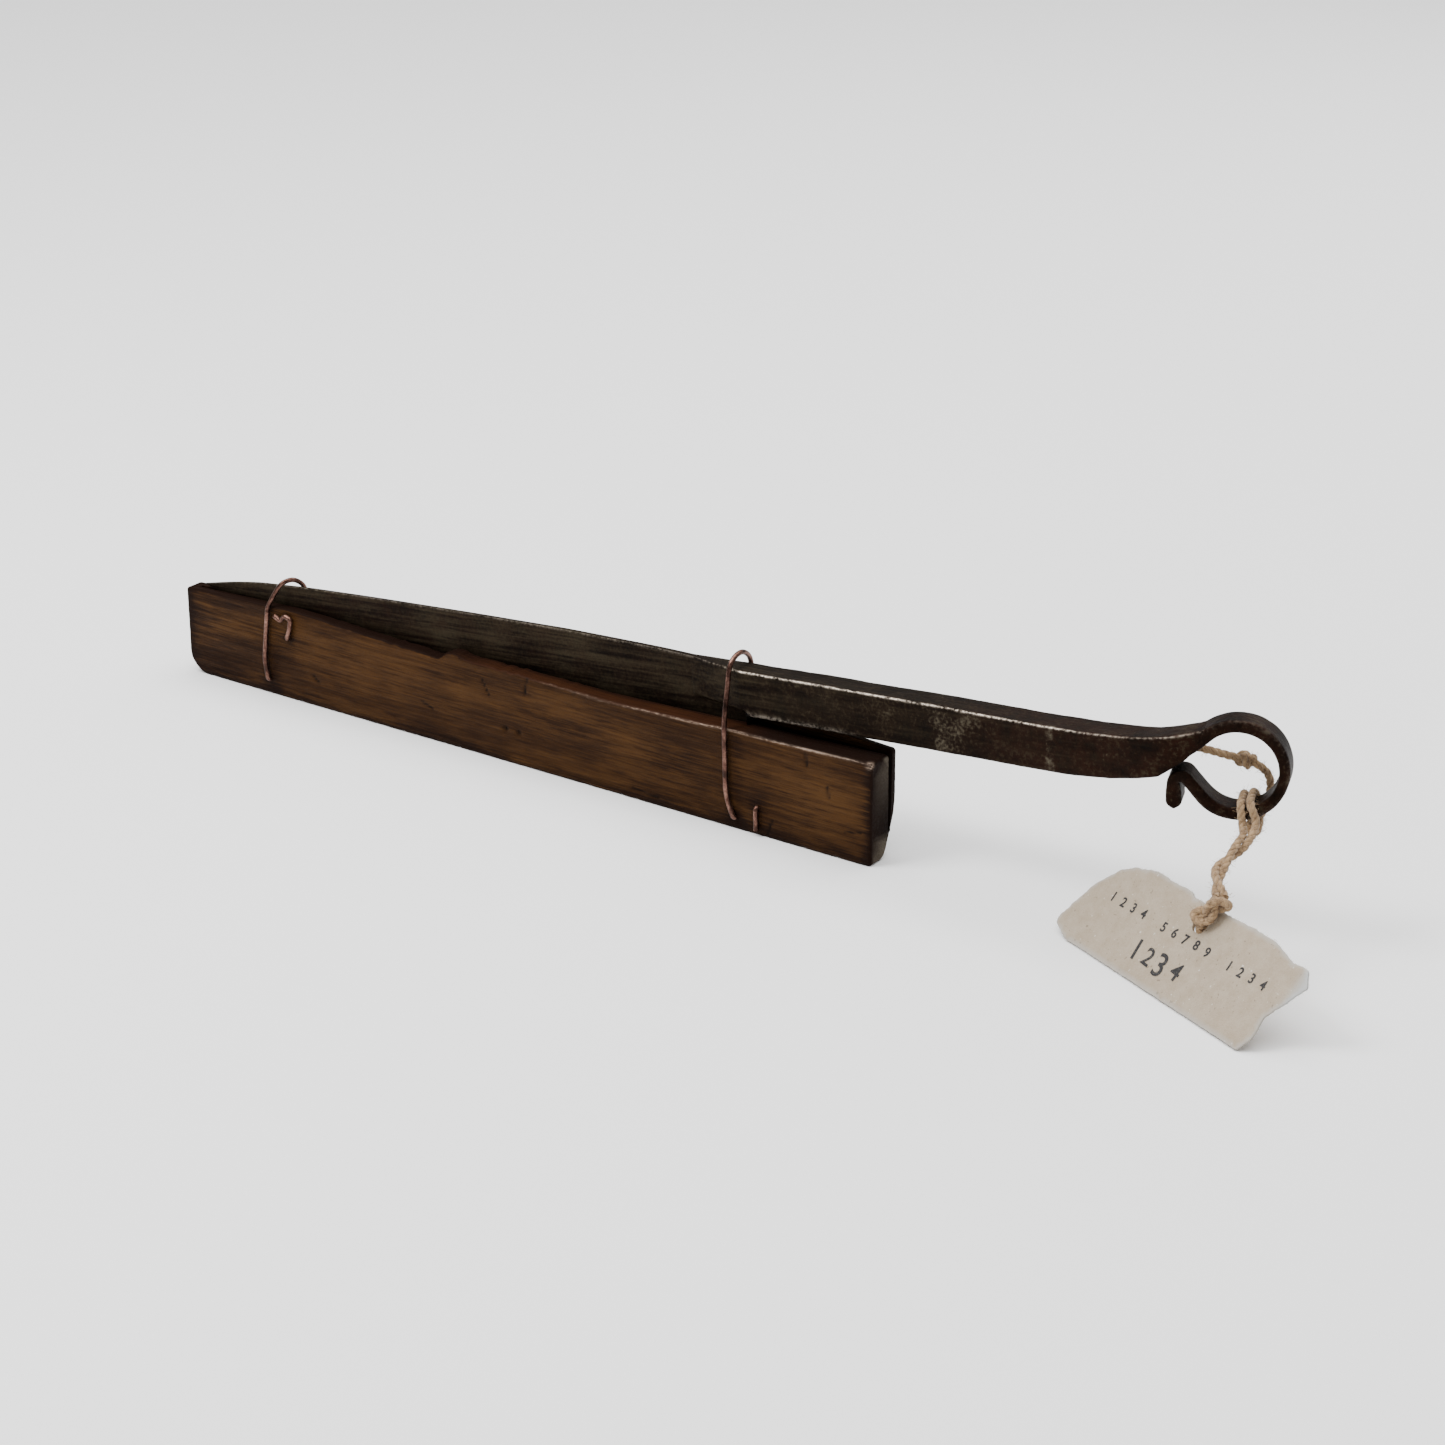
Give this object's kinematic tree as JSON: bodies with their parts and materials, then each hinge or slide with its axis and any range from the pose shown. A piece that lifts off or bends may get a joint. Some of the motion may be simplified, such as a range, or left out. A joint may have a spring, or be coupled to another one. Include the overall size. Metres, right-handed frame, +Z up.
{
  "type": "sheathed hand-forged knife",
  "caption": "Hand-forged iron knife with a bent eye at the end of its bar grip, in a sawn wooden sheath bound with copper wire, with a card tag on jute twine.",
  "frame": {"origin": "on the flat bottom of the sheath, under the kerf, midway along the 240 mm from the mouth", "axes": "+X along the sheath from its closed end to its mouth and on towards the eye, +Z up, -Y towards the sheath's thick lip"},
  "size_m": [0.3786, 0.0645, 0.059],
  "materials": {
    "waxed_wood": "old dark wax over long grain, worn and darker at the edges and ends",
    "forged_iron": "forge scale with brown rust, worn brighter along the grip's edges",
    "copper_wire": "dull brown copper wire, brighter where rubbed",
    "jute_twine": "hairy twisted jute",
    "card": "uncoated grey-beige board with flecks and torn edges"
  },
  "bodies": {
    "sheath_body": {"sheath": "waxed_wood", "heel_binding_wire": "copper_wire", "tip_binding_wire": "copper_wire"},
    "knife_body": {"knife": "forged_iron", "twine_strand_a": "jute_twine", "twine_strand_b": "jute_twine", "twine_tail": "jute_twine", "twine_hitch": "jute_twine", "twine_tail_knot": "jute_twine", "tag_knot": "jute_twine", "tag": "card"}
  },
  "joints": [
    {"name": "knife_draws_out", "type": "slide", "parent": "sheath_body", "child": "knife_body", "axis": [1, 0, 0], "range_m": [0, 0.238]}
  ]
}
